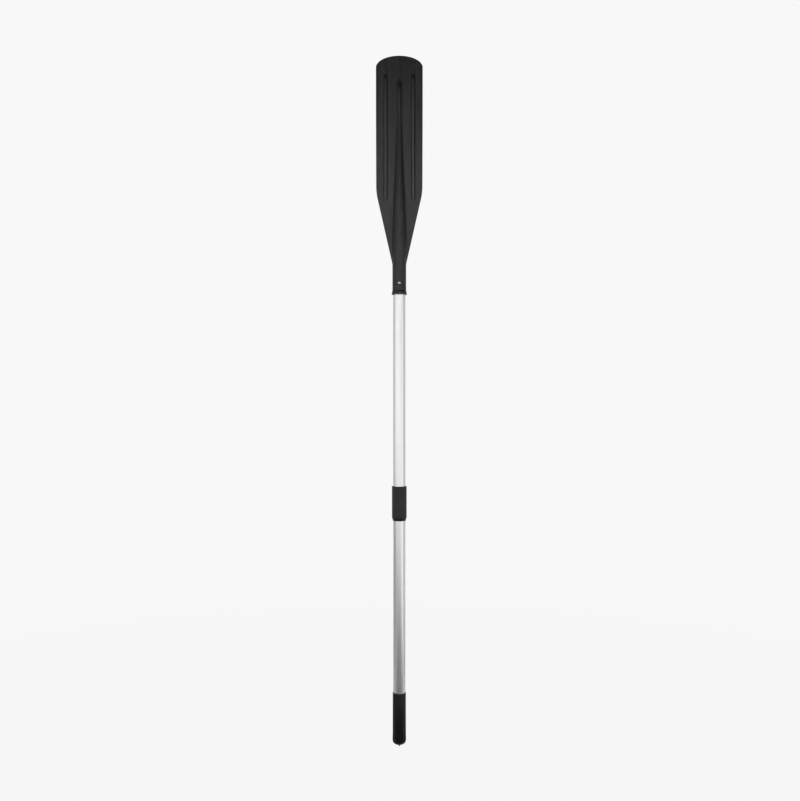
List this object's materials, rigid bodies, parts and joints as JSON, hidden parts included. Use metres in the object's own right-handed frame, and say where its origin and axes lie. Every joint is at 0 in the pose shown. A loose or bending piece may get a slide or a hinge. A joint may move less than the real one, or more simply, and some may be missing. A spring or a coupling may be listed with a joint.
{
  "type": "oar",
  "caption": "Take-apart rowing oar with a ribbed moulded blade, aluminium tubes, a joint sleeve in the middle and a short closed grip.",
  "frame": {"origin": "on the oar's axis, in the middle of the joint sleeve, where the oar lies in its rowlock", "axes": "+Z along the oar towards the blade tip, -Y the front with the blade button, +X across the blade"},
  "size_m": [0.136, 0.0448, 2.006],
  "materials": {
    "blade_plastic": "moulded, fine matt",
    "sleeve_plastic": "moulded, fine matt",
    "plug_plastic": "moulded",
    "grip_vinyl": "dipped soft vinyl, low sheen",
    "satin_aluminium": "satin anodised, drawn along its length",
    "stainless_steel": "bright stainless"
  },
  "bodies": {
    "handle_section": {"handle_tube": "satin_aluminium", "joint_sleeve": "sleeve_plastic", "joint_ferrule": "satin_aluminium", "joint_rivet_upper": "satin_aluminium", "joint_rivet_lower": "satin_aluminium", "rivet_stem_upper": "stainless_steel", "rivet_stem_lower": "stainless_steel", "joint_button_spring": "stainless_steel", "ferrule_plug": "plug_plastic", "handle_end_plug": "plug_plastic", "grip": "grip_vinyl"},
    "joint_button": {"joint_button": "stainless_steel"},
    "middle_section": {"middle_tube": "satin_aluminium", "middle_tube_bung": "plug_plastic", "blade_end_plug": "plug_plastic", "blade_button_spring": "stainless_steel"},
    "blade_button": {"blade_button": "stainless_steel"},
    "blade_section": {"blade": "blade_plastic"}
  },
  "joints": [
    {"name": "joint_button_press", "type": "slide", "parent": "handle_section", "child": "joint_button", "axis": [0, -1, 0], "range_m": [0, 0.0033], "stiffness_N_per_m": 1200, "springref_m": -0.003, "deforming": ["joint_button_spring"]},
    {"name": "middle_pull", "type": "slide", "parent": "handle_section", "child": "middle_section", "axis": [0, 0, 1], "range_m": [0, 0.2]},
    {"name": "blade_button_press", "type": "slide", "parent": "middle_section", "child": "blade_button", "axis": [0, 1, 0], "range_m": [0, 0.004], "stiffness_N_per_m": 1200, "springref_m": -0.003, "deforming": ["blade_button_spring"]},
    {"name": "blade_pull", "type": "slide", "parent": "middle_section", "child": "blade_section", "axis": [0, 0, 1], "range_m": [0, 0.24]}
  ]
}
